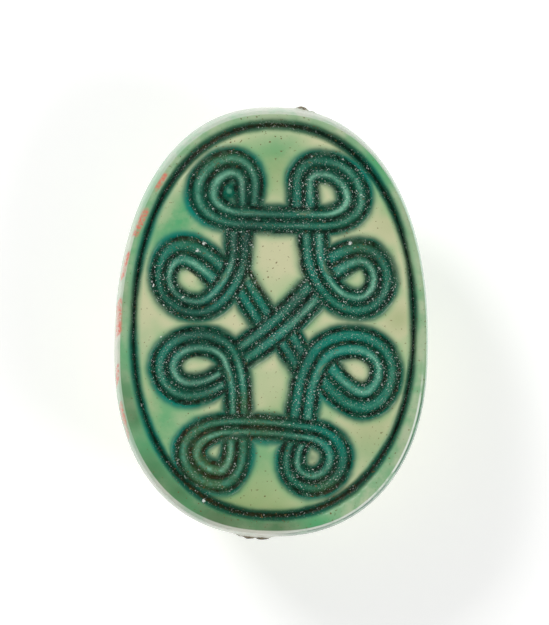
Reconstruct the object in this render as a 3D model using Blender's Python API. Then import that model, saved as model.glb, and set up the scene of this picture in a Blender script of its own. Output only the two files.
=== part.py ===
"""A carved and glazed scarab seal, lying on its beetle's back with the seal face up.

One solid: an oval seal plate with a coiled cord design cut in its flat face, and
below it the beetle, with its legs along the sides, its head at +Y and a domed back
that is worn flat where the seal rests. Units are metres. Z is up, the length runs
along Y, and the origin is in the middle of the seal's footprint, on its lowest plane.
"""

import math
from collections import namedtuple

import bmesh
import bpy
from mathutils import Vector

MM = 0.001

# The whole seal. Shares of a length are of half the seal's length, towards the head.
LENGTH = 20.0 * MM
WIDTH = 14.6 * MM
HEIGHT = 9.0 * MM
WIDEST_SHARE = -0.13
FULLNESS = 2.28
OVAL_POINTS = 72

# The plate that carries the seal face
PLATE_THICKNESS = 2.0 * MM
FACE_INSET_SIDE = 0.22 * MM
FACE_INSET_HEAD = 0.39 * MM
FACE_INSET_TAIL = 0.35 * MM
FACE_SHIFT_X = 0.1 * MM
RIM_ROUND = 0.12 * MM
PLATE_FLARE = 1.3 * MM
PLATE_UNDERCUT = 0.45 * MM

# The beetle's sides under the plate, and the domed back with the flat that it rests on
BODY_INSET = 0.95 * MM
BODY_INSET_HEAD = 1.5 * MM
BODY_HEIGHT = 2.3 * MM
DOME_INSET = 0.3 * MM
DOME_SETBACK = 3.3 * MM
DOME_CENTRE_SHARE = -0.1
DOME_LIP = 0.35 * MM
DOME_WEAR = 0.14 * MM
DOME_POWER = 2.3
DOME_RINGS = 6

# Where those sizes put the plate's underside and the back
PLATE_BOTTOM = HEIGHT - PLATE_THICKNESS
DOME_EDGE = PLATE_BOTTOM - BODY_HEIGHT
DOME_RISE = DOME_EDGE + DOME_WEAR
DOME_HALF_WIDTH = WIDTH / 2 - DOME_INSET
DOME_HEAD = LENGTH / 2 - DOME_SETBACK
DOME_TAIL = LENGTH / 2 - DOME_INSET
DOME_CENTRE = DOME_CENTRE_SHARE * LENGTH / 2

# Legs, as tapering ridges along each side, and where each starts and ends as shares of a length
LEG_THICKNESS = 1.24 * MM
LEG_INSET = 0.8 * MM
LEG_TAPER = 0.25
LEG_SLOPE = 0.8
LEG_STEPS = 5
LEG_BEVEL_SEGMENTS = 2
LEGS = {
    "fore": (0.34, 0.80),
    "middle": (0.24, -0.26),
    "hind": (-0.14, -0.80),
}

# Head and clypeus, set back from the seal's end
HEAD_SETBACK = 3.1 * MM
HEAD_WIDTH = 6.2 * MM
HEAD_LENGTH = 3.4 * MM
HEAD_DEPTH = 2.6 * MM
HEAD_SEGMENTS = 20
CLYPEUS_WIDTH = 4.6 * MM
CLYPEUS_REACH = 1.9 * MM
CLYPEUS_BOW = 0.63 * MM
CLYPEUS_THICKNESS = 0.9 * MM
CLYPEUS_TEETH = 4
TOOTH_DEPTH = 0.3 * MM
HEAD_Y = LENGTH / 2 - HEAD_SETBACK

# The hole for the string or ring wire, right through from head to tail under the plate
HOLE_DIAMETER = 1.9 * MM
HOLE_COVER = 0.15 * MM
HOLE_SIDES = 16

# Lines cut in the back: a collar behind the head, two lines between the wing cases, shoulder nicks
BACK_LINE_WIDTH = 0.36 * MM
BACK_LINE_POINTS = 12
COLLAR_SHARE = 0.29
COLLAR_BOW = 0.7 * MM
COLLAR_REACH = 0.93
WING_LINE_GAP = 0.5 * MM
NICK_SHARES = ((0.88, 0.19), (0.73, 0.11), (0.59, 0.0))

# The cord design and the border line round it
GROOVE_WIDTH = 0.32 * MM
GROOVE_DEPTH = 0.2 * MM
BORDER_WIDTH = 0.38 * MM
BORDER_DEPTH = 0.26 * MM
BORDER_INSET_SIDE = 0.59 * MM
BORDER_INSET_HEAD = 0.48 * MM
BORDER_INSET_TAIL = 0.68 * MM
BORDER_WIDEST_SHARE = -0.04
BORDER_FULLNESS = 2.2

# How finely a cord's bends are drawn, and how its ends are cut back
ARC_STEP = math.radians(30)
LONGEST_STEP = 1.2 * MM
SHORTEST_STEP = 0.16 * MM
LEAST_CORNER = math.radians(15)
RUN_ON = 0.5 * MM
OWN_END = 3.0 * MM
TRIM_HALVINGS = 10
WELD = 0.001 * MM

# The design is drawn in millimetres on a face of this size, and follows the seal if that changes.
DRAWN_LENGTH = 20.0
DRAWN_WIDTH = 14.6

# A cord is three grooves side by side. It passes through stations, where its middle groove
# is at x, y with a heading in degrees, and its outer grooves lie half a width to each side.
# Each end dives under the cord that is named.
Cord = namedtuple("Cord", "starts_under ends_under stations")
CORDS = {
    "top": Cord("top", "top", [
        (-1.14, 5.33, 91, 0.53), (-1.14, 6.35, 91, 0.60), (-1.91, 7.20, 181, 0.67),
        (-3.14, 5.91, 271, 0.72), (-1.50, 4.76, -2, 0.54), (0.81, 4.72, 1, 0.52),
        (2.43, 4.74, 3, 0.53), (3.76, 5.72, 91, 0.66), (2.12, 7.18, 181, 0.62),
        (1.39, 6.48, 271, 0.61), (1.41, 5.27, 271, 0.61),
    ]),
    "bottom": Cord("bottom", "bottom", [
        (-1.52, -5.46, 271, 0.57), (-1.52, -5.88, 271, 0.58), (-2.28, -7.25, 181, 0.65),
        (-3.70, -6.09, 91, 0.62), (-1.92, -4.90, 3, 0.50), (0.02, -4.92, -3, 0.49),
        (1.83, -5.11, -6, 0.49), (3.10, -6.23, 271, 0.61), (2.00, -7.40, 181, 0.58),
        (1.02, -6.49, 91, 0.53), (1.24, -5.61, 63, 0.49),
    ]),
    "upper_left": Cord("top", "upper_left", [
        (-1.54, 4.03, 271, 0.56), (-1.55, 3.20, 269, 0.52), (-2.15, 1.52, 235, 0.56),
        (-3.43, 0.62, 181, 0.51), (-5.03, 1.99, 91, 0.50), (-4.12, 3.16, 1, 0.68),
        (-2.56, 2.28, -43, 0.69),
    ]),
    "upper_right": Cord("top", "upper_right", [
        (1.86, 3.98, 271, 0.60), (1.92, 3.15, 275, 0.59), (2.57, 1.63, 307, 0.55),
        (3.97, 0.87, 1, 0.59), (5.02, 2.04, 91, 0.62), (4.03, 3.18, 181, 0.62),
        (2.79, 2.65, 213, 0.68),
    ]),
    "lower_left": Cord("bottom", "lower_left", [
        (-1.47, -4.49, 91, 0.52), (-1.50, -3.42, 93, 0.52), (-1.90, -1.69, 113, 0.56),
        (-3.32, -0.95, 181, 0.59), (-4.84, -2.15, 271, 0.63), (-3.71, -3.20, 1, 0.61),
        (-2.42, -2.77, 33, 0.53),
    ]),
    "lower_right": Cord("bottom", "lower_right", [
        (1.43, -4.49, 89, 0.62), (1.57, -3.29, 84, 0.60), (2.20, -1.61, 58, 0.62),
        (3.76, -0.90, 1, 0.65), (5.31, -2.19, 271, 0.62), (4.26, -3.56, 181, 0.72),
        (2.72, -2.53, 131, 0.69),
    ]),
    "crossing_over": Cord("upper_right", "lower_left", [
        (1.86, 1.35, 228, 0.65), (0.44, -0.09, 221, 0.64), (-1.14, -1.36, 215, 0.60),
    ]),
    "crossing_under_upper": Cord("upper_left", "crossing_over", [
        (-1.37, 1.72, 302, 0.56), (-0.37, 0.16, 302, 0.56),
    ]),
    "crossing_under_lower": Cord("crossing_over", "lower_right", [
        (0.89, -1.03, 302, 0.56), (1.41, -1.86, 301, 0.56),
    ]),
}


def clear_scene():
    for old in list(bpy.data.objects):
        bpy.data.objects.remove(old)
    for old in list(bpy.data.collections):
        bpy.data.collections.remove(old)


def new_collection(name):
    collection = bpy.data.collections.new(name)
    bpy.context.scene.collection.children.link(collection)
    return collection


def glaze_material():
    material = bpy.data.materials.new("green_glaze")
    material.use_nodes = True
    shader = material.node_tree.nodes["Principled BSDF"]
    shader.inputs["Base Color"].default_value = (0.24, 0.42, 0.27, 1.0)
    shader.inputs["Roughness"].default_value = 0.35
    shader.inputs["Metallic"].default_value = 0.0
    return material


def add_mesh(name, mesh, collection):
    thing = bpy.data.objects.new(name, mesh)
    collection.objects.link(thing)
    return thing


def power(value, exponent):
    return math.copysign(abs(value) ** exponent, value)


def along(share):
    """The place along Y at a share of half the seal's length, towards the head."""
    return share * LENGTH / 2


def oval(half_width, head, tail, widest, fullness=FULLNESS, shift=0.0):
    """Points round an egg-shaped oval whose ends are at y = head and y = -tail."""
    points = []
    for i in range(OVAL_POINTS):
        turn = 2 * math.pi * i / OVAL_POINTS
        sideways = power(math.cos(turn), 2 / fullness)
        lengthways = power(math.sin(turn), 2 / fullness)
        reach = head - widest if lengthways > 0 else tail + widest
        points.append((shift + half_width * sideways, widest + reach * lengthways))
    return points


def seal_oval(inset, head_inset=None, tail_inset=None, shift=0.0):
    """The seal's own outline, drawn in by an inset."""
    head = LENGTH / 2 - (inset if head_inset is None else head_inset)
    tail = LENGTH / 2 - (inset if tail_inset is None else tail_inset)
    return oval(WIDTH / 2 - inset, head, tail, along(WIDEST_SHARE), shift=shift)


def side_x(y, inset):
    """Half the seal's width at y, drawn in by an inset."""
    widest = along(WIDEST_SHARE)
    if y > widest:
        reach = LENGTH / 2 - inset - widest
    else:
        reach = LENGTH / 2 - inset + widest
    share = min(1.0, abs(y - widest) / reach)
    return (WIDTH / 2 - inset) * (1 - share**FULLNESS) ** (1 / FULLNESS)


def dome_share(x, y):
    """0 in the middle of the back and 1 at its edge."""
    reach = DOME_HEAD - DOME_CENTRE if y > DOME_CENTRE else DOME_TAIL + DOME_CENTRE
    sideways = abs(x) / DOME_HALF_WIDTH
    lengthways = abs(y - DOME_CENTRE) / reach
    return min(1.0, (sideways**FULLNESS + lengthways**FULLNESS) ** (1 / FULLNESS))


def dome_z(share):
    """The back's surface, down from its edge to the flat that it rests on."""
    return max(0.0, DOME_EDGE - DOME_RISE * math.sqrt(1 - share**DOME_POWER))


def loft(name, rings, collection):
    """A closed solid through rings of points, from the lowest to the highest."""
    mesh = bpy.data.meshes.new(name)
    form = bmesh.new()
    loops = [[form.verts.new((x, y, z)) for x, y in points] for z, points in rings]
    form.faces.new(reversed(loops[0]))
    form.faces.new(loops[-1])
    for low, high in zip(loops, loops[1:]):
        for i in range(len(low)):
            j = (i + 1) % len(low)
            form.faces.new((low[i], low[j], high[j], high[i]))
    form.to_mesh(mesh)
    form.free()
    return add_mesh(name, mesh, collection)


def make_body(collection):
    """The seal plate, the beetle's sides and its domed back as one turned-out form."""
    flat_share = (1 - (DOME_EDGE / DOME_RISE) ** 2) ** (1 / DOME_POWER)
    rings = []
    for i in range(DOME_RINGS + 1):
        # Rings crowd towards the edge, where the back falls away fastest.
        share = flat_share + (1 - flat_share) * math.sin(math.pi / 2 * i / DOME_RINGS)
        head = DOME_CENTRE + share * (DOME_HEAD - DOME_CENTRE)
        tail = share * (DOME_TAIL + DOME_CENTRE) - DOME_CENTRE
        rings.append((dome_z(share), oval(share * DOME_HALF_WIDTH, head, tail, DOME_CENTRE)))
    rings[0] = (0.0, rings[0][1])
    body = seal_oval(BODY_INSET, BODY_INSET_HEAD)
    rings += [
        (DOME_EDGE + DOME_LIP, body),
        (PLATE_BOTTOM - DOME_LIP / 2, body),
        (PLATE_BOTTOM, seal_oval(PLATE_UNDERCUT)),
        (PLATE_BOTTOM + PLATE_UNDERCUT / 2, seal_oval(PLATE_UNDERCUT / 4)),
        (HEIGHT - PLATE_FLARE, seal_oval(0.0)),
        (HEIGHT - RIM_ROUND, seal_oval(
            FACE_INSET_SIDE - RIM_ROUND / 2,
            FACE_INSET_HEAD - RIM_ROUND,
            FACE_INSET_TAIL - RIM_ROUND,
            FACE_SHIFT_X / 2,
        )),
        (HEIGHT, seal_oval(FACE_INSET_SIDE, FACE_INSET_HEAD, FACE_INSET_TAIL, FACE_SHIFT_X)),
    ]
    return loft("scarab", rings, collection)


def tube(name, points, width, collection, bevel_segments=0, closed=False, depth=None, sizes=None):
    """A tube along points. Four sides give a groove cutter, as deep as is asked."""
    curve = bpy.data.curves.new(name, "CURVE")
    curve.dimensions = "3D"
    curve.twist_mode = "Z_UP"
    curve.bevel_depth = width / 2
    curve.bevel_resolution = bevel_segments
    curve.use_fill_caps = not closed
    spline = curve.splines.new("POLY")
    spline.points.add(len(points) - 1)
    spline.use_cyclic_u = closed
    for i, point in enumerate(points):
        spline.points[i].co = (*point, 1.0)
        spline.points[i].radius = sizes[i] if sizes else 1.0
    guide = bpy.data.objects.new(name, curve)
    collection.objects.link(guide)
    made = guide.evaluated_get(bpy.context.evaluated_depsgraph_get())
    mesh = bpy.data.meshes.new_from_object(made)
    bpy.data.objects.remove(guide)
    bpy.data.curves.remove(curve)
    form = bmesh.new()
    form.from_mesh(mesh)
    bmesh.ops.remove_doubles(form, verts=form.verts, dist=WELD)
    if depth is not None:
        for vert in form.verts:
            vert.co.z = HEIGHT + (vert.co.z - HEIGHT) * depth / (width / 2)
    bmesh.ops.recalc_face_normals(form, faces=form.faces)
    form.to_mesh(mesh)
    form.free()
    return add_mesh(name, mesh, collection)


def leg_points(start, end, side):
    """A leg's run along the beetle's side, from the back's edge to the plate."""
    points = []
    for i in range(LEG_STEPS + 1):
        share = i / LEG_STEPS
        y = along(start + (end - start) * share)
        rise = BODY_HEIGHT - DOME_LIP - LEG_THICKNESS / 6
        z = DOME_EDGE + DOME_LIP / 2 + rise * share**LEG_SLOPE
        points.append((side * side_x(y, LEG_INSET), y, z))
    return points


def make_legs(collection):
    sizes = [1 - LEG_TAPER * i / LEG_STEPS for i in range(LEG_STEPS + 1)]
    for name, (start, end) in LEGS.items():
        for side_name, side in (("left", -1), ("right", 1)):
            points = leg_points(start, end, side)
            leg = f"{name}_leg_{side_name}"
            tube(leg, points, LEG_THICKNESS, collection, LEG_BEVEL_SEGMENTS, sizes=sizes)


def make_head(collection):
    mesh = bpy.data.meshes.new("head")
    form = bmesh.new()
    bmesh.ops.create_uvsphere(
        form, u_segments=HEAD_SEGMENTS, v_segments=HEAD_SEGMENTS // 2, radius=1.0
    )
    for vert in form.verts:
        vert.co.x *= HEAD_WIDTH / 2
        vert.co.y = HEAD_Y + vert.co.y * HEAD_LENGTH / 2
        vert.co.z = DOME_EDGE + DOME_LIP + vert.co.z * HEAD_DEPTH / 2
    form.to_mesh(mesh)
    form.free()
    add_mesh("head", mesh, collection)


def make_clypeus(collection):
    """The toothed plate in front of the head."""
    root_y = HEAD_Y + HEAD_LENGTH / 4
    tip_y = HEAD_Y + CLYPEUS_REACH
    half = CLYPEUS_WIDTH / 2
    outline = [(half, root_y), (half, tip_y - TOOTH_DEPTH)]
    for i in range(CLYPEUS_TEETH * 2 - 1):
        share = (i + 1) / (CLYPEUS_TEETH * 2)
        bow = math.sin(math.pi * share) * CLYPEUS_BOW
        notch = TOOTH_DEPTH if i % 2 else 0.0
        outline.append((half * (1 - 2 * share), tip_y + bow - notch))
    outline += [(-half, tip_y - TOOTH_DEPTH), (-half, root_y)]
    base = DOME_EDGE + DOME_LIP / 2
    rings = [(base, outline), (base + CLYPEUS_THICKNESS, outline)]
    loft("clypeus", rings, collection)


def heading_vector(degrees):
    return Vector((math.cos(math.radians(degrees)), math.sin(math.radians(degrees))))


def cord_line(stations):
    """Points along a cord's middle as (place, heading, half width), on an arc between stations."""
    scale_x = WIDTH / DRAWN_WIDTH
    scale_y = LENGTH / DRAWN_LENGTH
    line = []
    for (x0, y0, turn0, half0), (x1, y1, turn1, half1) in zip(stations, stations[1:]):
        start = Vector((x0 * scale_x, y0 * scale_y))
        end = Vector((x1 * scale_x, y1 * scale_y))
        out, into = heading_vector(turn0), heading_vector(turn1)
        chord = end - start
        turn = out.angle(into)
        reach_out = reach_in = chord.length / 3
        if turn > LEAST_CORNER:
            # The handles run towards the corner where the two headings meet.
            cross = out.x * into.y - out.y * into.x
            bulge = 4 / 3 * math.tan(turn / 4) / math.tan(turn / 2)
            reach_out = bulge * (chord.x * into.y - chord.y * into.x) / cross
            reach_in = bulge * (out.x * chord.y - out.y * chord.x) / cross
        handle_out = start + out * reach_out
        handle_in = end - into * reach_in
        steps = max(1, math.ceil(turn / ARC_STEP), math.ceil(chord.length / LONGEST_STEP))
        for i in range(steps + 1):
            if i == 0 and line:
                continue
            t = i / steps
            s = 1 - t
            place = s**3 * start + 3 * s * s * t * handle_out + 3 * s * t * t * handle_in + t**3 * end
            way = (s * s * (handle_out - start) + 2 * s * t * (handle_in - handle_out)
                   + t * t * (end - handle_in)).normalized()
            half = (half0 + (half1 - half0) * t * t * (3 - 2 * t)) * scale_x
            line.append((place, way, half))
    return line


def rail(line, side):
    """One groove of a cord, without the folds that a tight bend would give its inner side."""
    (start, start_way, start_half), (end, end_way, end_half) = line[0], line[-1]
    before = (start - start_way * RUN_ON, start_way, start_half)
    after = (end + end_way * RUN_ON, end_way, end_half)
    points = []
    for place, way, half in [before, *line, after]:
        point = place + Vector((-way.y, way.x)) * half * side
        if points and (point - points[-1]).dot(way) < SHORTEST_STEP:
            continue
        points.append(point)
    return points


def over_strip(lines, name, over, end):
    """The stretches of a cord, as (start, end, half width), that lie over one end of another.

    Where a cord dives under itself, the stretches next to its own end are left out.
    """
    line = lines[over]
    stretches = [(start, stop, half) for (start, _, half), (stop, _, _) in zip(line, line[1:])]
    if over != name:
        return stretches
    if end == -1:
        stretches.reverse()
    passed = 0.0
    kept = []
    for start, stop, half in stretches:
        if passed > OWN_END:
            kept.append((start, stop, half))
        passed += (stop - start).length
    return kept


def is_under(point, strip):
    for start, stop, half in strip:
        way = stop - start
        share = max(0.0, min(1.0, (point - start).dot(way) / way.length_squared))
        if (point - start.lerp(stop, share)).length < half:
            return True
    return False


def trim_end(points, strip):
    """Cuts back the end of a groove to the outer groove of the cord that it dives under."""
    while len(points) > 2 and is_under(points[-2], strip):
        points.pop()
    if not is_under(points[-1], strip):
        return
    outside, inside = points[-2], points[-1]
    for _ in range(TRIM_HALVINGS):
        middle = (outside + inside) / 2
        if is_under(middle, strip):
            inside = middle
        else:
            outside = middle
    points[-1] = inside


def make_grooves(collection):
    """Cutters for the border line and for the three grooves of each cord."""
    border = oval(
        WIDTH / 2 - FACE_INSET_SIDE - BORDER_INSET_SIDE,
        LENGTH / 2 - FACE_INSET_HEAD - BORDER_INSET_HEAD,
        LENGTH / 2 - FACE_INSET_TAIL - BORDER_INSET_TAIL,
        along(BORDER_WIDEST_SHARE), BORDER_FULLNESS, FACE_SHIFT_X,
    )
    ring = [(x, y, HEIGHT) for x, y in border]
    tube("border_groove", ring, BORDER_WIDTH, collection, closed=True, depth=BORDER_DEPTH)
    lines = {name: cord_line(cord.stations) for name, cord in CORDS.items()}
    for name, cord in CORDS.items():
        for groove, side in (("left", 1), ("middle", 0), ("right", -1)):
            points = rail(lines[name], side)
            trim_end(points, over_strip(lines, name, cord.ends_under, -1))
            points.reverse()
            trim_end(points, over_strip(lines, name, cord.starts_under, 0))
            run = [(point.x, point.y, HEIGHT) for point in points]
            tube(f"{name}_{groove}", run, GROOVE_WIDTH, collection, depth=GROOVE_DEPTH)


def on_back(x, y):
    return (x, y, dome_z(dome_share(x, y)))


def make_back_lines(collection):
    """Cutters for the collar line, the two lines between the wing cases and a nick at each shoulder."""
    steps = [i / BACK_LINE_POINTS for i in range(BACK_LINE_POINTS + 1)]
    seam_start = along(COLLAR_SHARE) - COLLAR_BOW
    collar = []
    for step in steps:
        share = 2 * step - 1
        x = share * DOME_HALF_WIDTH * COLLAR_REACH
        collar.append(on_back(x, seam_start + COLLAR_BOW * share * share))
    tube("collar_line", collar, BACK_LINE_WIDTH, collection)
    for name, side in (("left", -1), ("right", 1)):
        x = side * WING_LINE_GAP / 2
        seam = [on_back(x, seam_start - (DOME_TAIL + seam_start) * step) for step in steps]
        tube(f"wing_line_{name}", seam, BACK_LINE_WIDTH, collection)
        nick = [on_back(side * across * WIDTH / 2, along(share)) for across, share in NICK_SHARES]
        tube(f"shoulder_nick_{name}", nick, BACK_LINE_WIDTH, collection)


def make_string_hole(collection):
    mesh = bpy.data.meshes.new("string_hole")
    form = bmesh.new()
    bmesh.ops.create_cone(
        form, cap_ends=True, segments=HOLE_SIDES, radius1=HOLE_DIAMETER / 2,
        radius2=HOLE_DIAMETER / 2, depth=2 * LENGTH,
    )
    form.to_mesh(mesh)
    form.free()
    hole = add_mesh("string_hole", mesh, collection)
    hole.rotation_euler = (math.pi / 2, 0.0, 0.0)
    hole.location = (0.0, 0.0, PLATE_BOTTOM - HOLE_COVER - HOLE_DIAMETER / 2)


def combine(target, collection, operation):
    boolean = target.modifiers.new(f"{collection.name}_{operation}", "BOOLEAN")
    boolean.operation = operation
    boolean.solver = "EXACT"
    boolean.operand_type = "COLLECTION"
    boolean.collection = collection


def main():
    clear_scene()
    seal = new_collection("scarab_seal")
    added = new_collection("beetle_relief")
    cut = new_collection("carving_cutters")
    body = make_body(seal)
    make_legs(added)
    make_head(added)
    make_clypeus(added)
    make_string_hole(cut)
    make_back_lines(cut)
    make_grooves(cut)
    combine(body, added, "UNION")
    combine(body, cut, "DIFFERENCE")
    for helper in (*added.objects, *cut.objects):
        helper.hide_render = True
        helper.display_type = "WIRE"
    body.data.materials.append(glaze_material())


main()
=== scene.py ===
"""The looks of a green-glazed scarab seal that lies on its back, photographed from straight above.

One mesh stands for the carved stone. Its seal face is a fine grid with every groove of the
coiled cord design cut into it, and rings of points carry on from there over the rim, down the
beetle's sides and round its back. Places are worked out in millimetres in the frame's axes
and scaled to metres when the mesh is made.
"""

import math

import bmesh
import bpy
import numpy as np
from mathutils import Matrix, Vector, noise


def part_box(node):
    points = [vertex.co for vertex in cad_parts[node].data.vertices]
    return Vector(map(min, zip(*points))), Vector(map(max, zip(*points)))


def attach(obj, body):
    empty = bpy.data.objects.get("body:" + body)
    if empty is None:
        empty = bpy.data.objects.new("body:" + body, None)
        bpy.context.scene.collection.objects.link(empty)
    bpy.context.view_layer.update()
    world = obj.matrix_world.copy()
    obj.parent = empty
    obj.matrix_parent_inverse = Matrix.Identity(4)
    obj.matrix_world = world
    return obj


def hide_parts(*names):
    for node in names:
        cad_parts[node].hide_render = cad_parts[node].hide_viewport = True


MM = 0.001
TINY = 1e-9

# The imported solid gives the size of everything
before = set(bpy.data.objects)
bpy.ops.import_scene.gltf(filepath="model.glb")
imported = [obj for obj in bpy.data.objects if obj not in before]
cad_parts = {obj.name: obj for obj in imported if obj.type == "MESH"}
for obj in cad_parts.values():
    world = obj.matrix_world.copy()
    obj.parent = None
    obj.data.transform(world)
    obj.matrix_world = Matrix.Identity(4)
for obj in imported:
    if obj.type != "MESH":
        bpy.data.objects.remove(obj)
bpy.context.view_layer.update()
LOW, HIGH = (np.array(corner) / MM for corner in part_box("scarab"))
WIDTH, LENGTH, HEIGHT = HIGH - LOW

# The seal's outline
WIDEST_SHARE = -0.13
FULLNESS = 2.28

# The plate that carries the seal face, in shares of the height, width or length
PLATE_THICKNESS = 0.222 * HEIGHT
PLATE_FLARE = 0.144 * HEIGHT
PLATE_UNDERCUT = 0.031 * WIDTH
RIM_ROUND = 0.017 * HEIGHT
FACE_INSET_SIDE = 0.015 * WIDTH
FACE_INSET_HEAD = 0.0195 * LENGTH
FACE_INSET_TAIL = 0.0175 * LENGTH
FACE_SHIFT_X = 0.007 * WIDTH

# The beetle's sides and its domed back
BODY_INSET = 0.065 * WIDTH
BODY_INSET_HEAD = 0.075 * LENGTH
BODY_HEIGHT = 0.256 * HEIGHT
DOME_INSET = 0.0205 * WIDTH
DOME_SETBACK = 0.165 * LENGTH
DOME_CENTRE_SHARE = -0.1
DOME_LIP = 0.039 * HEIGHT
DOME_WEAR = 0.0156 * HEIGHT
DOME_POWER = 2.3

# Where those sizes put the plate's underside and the back
PLATE_BOTTOM = HEIGHT - PLATE_THICKNESS
DOME_EDGE = PLATE_BOTTOM - BODY_HEIGHT
DOME_RISE = DOME_EDGE + DOME_WEAR
DOME_SIDE = WIDTH / 2 - DOME_INSET
DOME_HEAD = LENGTH / 2 - DOME_SETBACK
DOME_TAIL = LENGTH / 2 - DOME_INSET
DOME_CENTRE = DOME_CENTRE_SHARE * LENGTH / 2

# How the mesh is divided: the face, then rings from the rim to the back's edge, and on the back
GRID_ACROSS = 204
GRID_ALONG = 272
RING_COUNTS = (4, 10, 3, 3, 3, 26, 6)
DOME_RINGS = 26

# The cord design and its border line, which is inset at the side, head and tail
GROOVE_WIDTH = 0.33
GROOVE_DEPTH = 0.22
GROOVE_STEEPNESS = 1.1
GROOVE_POWER = 2.6
BORDER_WIDTH_SIDE = 0.3
BORDER_WIDTH_END = 0.56
BORDER_DEPTH = 0.3
BORDER_INSETS = (0.59, 0.48, 0.68)
BORDER_WIDEST_SHARE = -0.04
BORDER_FULLNESS = 2.2
BORDER_POINTS = 361
BORDER_SEARCH = 1.5
BORDER_FAR = 9.0
STRAND_SINK = 0.05
STRAND_HOLLOW = 1.6
STRAND_EDGE = (1.06, 0.94)
BEND_WINDOW = 9

# Where the head and tail ends begin and are reached, in millimetres from the middle
ENDS = (4.5, 8.5)
ENDS_MIDDLE = 0.3

# How a hand's work varies: noise by size and seed, and for the grooves' width by share too
WIDTH_LUMPS = ((0.16, 0.9, 3.0), (0.1, 0.3, 7.0))
WOBBLE_LUMPS = (0.35, 11.0)
HAND_WOBBLE = 0.02

# How far from a line its points are looked for, and what counts as level with a surface
SEARCH_REACH = 1.0
LEVEL_SLACK = 0.001

# How finely a cord's bends are drawn, and how its ends are cut back
ARC_STEP = math.radians(8)
LONGEST_STEP = 0.3
SHORTEST_STEP = 0.02
LEAST_CORNER = math.radians(15)
RUN_ON = 0.5
OWN_END = 3.0
TRIM_HALVINGS = 12

# The design is drawn in millimetres on a face of this size, and follows the seal if that changes
DRAWN_LENGTH = 20.0
DRAWN_WIDTH = 14.6

# A cord is three grooves side by side. It passes through stations, where its middle groove
# is at x, y with a heading in degrees, and its outer grooves lie half a width to each side.
# Before them stand the names of the cords that its start and its end dive under.
CORDS = {
    "top": ("top", "top", [
        (-1.14, 5.33, 91, 0.53), (-1.14, 6.35, 91, 0.6), (-1.91, 7.2, 181, 0.67),
        (-3.14, 5.91, 271, 0.72), (-1.5, 4.76, -2, 0.54), (0.81, 4.72, 1, 0.52), (2.43, 4.74, 3, 0.53),
        (3.76, 5.72, 91, 0.66), (2.12, 7.18, 181, 0.62), (1.39, 6.48, 271, 0.61), (1.41, 5.27, 271, 0.61),
    ]),
    "bottom": ("bottom", "bottom", [
        (-1.52, -5.46, 271, 0.57), (-1.52, -5.88, 271, 0.58), (-2.28, -7.25, 181, 0.65),
        (-3.7, -6.09, 91, 0.62), (-1.92, -4.9, 3, 0.5), (0.02, -4.92, -3, 0.49), (1.83, -5.11, -6, 0.49),
        (3.1, -6.23, 271, 0.61), (2.0, -7.4, 181, 0.58), (1.02, -6.49, 91, 0.53), (1.24, -5.61, 63, 0.49),
    ]),
    "upper_left": ("top", "upper_left", [
        (-1.54, 4.03, 271, 0.56), (-1.55, 3.2, 269, 0.52), (-2.15, 1.52, 235, 0.56),
        (-3.43, 0.62, 181, 0.51), (-5.03, 1.99, 91, 0.5), (-4.12, 3.16, 1, 0.68),
        (-2.56, 2.28, -43, 0.69),
    ]),
    "upper_right": ("top", "upper_right", [
        (1.86, 3.98, 271, 0.6), (1.92, 3.15, 275, 0.59), (2.57, 1.63, 307, 0.55), (3.97, 0.87, 1, 0.59),
        (5.02, 2.04, 91, 0.62), (4.03, 3.18, 181, 0.62), (2.79, 2.65, 213, 0.68),
    ]),
    "lower_left": ("bottom", "lower_left", [
        (-1.47, -4.49, 91, 0.52), (-1.5, -3.42, 93, 0.52), (-1.9, -1.69, 113, 0.56),
        (-3.32, -0.95, 181, 0.59), (-4.84, -2.15, 271, 0.63), (-3.71, -3.2, 1, 0.61),
        (-2.42, -2.77, 33, 0.53),
    ]),
    "lower_right": ("bottom", "lower_right", [
        (1.43, -4.49, 89, 0.62), (1.57, -3.29, 84, 0.6), (2.2, -1.61, 58, 0.62), (3.76, -0.9, 1, 0.65),
        (5.31, -2.19, 271, 0.62), (4.26, -3.56, 181, 0.72), (2.72, -2.53, 131, 0.69),
    ]),
    "crossing_over": ("upper_right", "lower_left", [
        (1.86, 1.35, 228, 0.65), (0.44, -0.09, 221, 0.64), (-1.14, -1.36, 215, 0.6),
    ]),
    "crossing_under_upper": ("upper_left", "crossing_over", [
        (-1.37, 1.72, 302, 0.56), (-0.37, 0.16, 302, 0.56),
    ]),
    "crossing_under_lower": ("crossing_over", "lower_right", [
        (0.89, -1.03, 302, 0.56), (1.41, -1.86, 301, 0.56),
    ]),
}

# Legs, as ridges along each side: where each starts and ends, in shares of half the length
LEG_THICKNESS = 1.24
LEG_SINK = 0.15
LEG_TAPER = 0.25
LEG_SLOPE = 0.8
LEG_STEPS = 15
LEG_STROKES = 4.5
LEG_STROKE_SHARPNESS = 6
LEG_STROKE_DEPTH = 0.1
LEG_STROKE_EDGE = (0.1, 0.3)
LEGS = {
    "fore": (0.34, 0.8),
    "middle": (0.24, -0.26),
    "hind": (-0.14, -0.8),
}

# How the beetle's shapes join, and the band they are raised on, short of the plate and back
SHAPE_BLEND = 0.08
SHAPE_FAR = 1.0
RAISE_STEPS = 12
BAND_TOP_GAP = 0.05
BAND_LOW_GAP = 0.01

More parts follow.
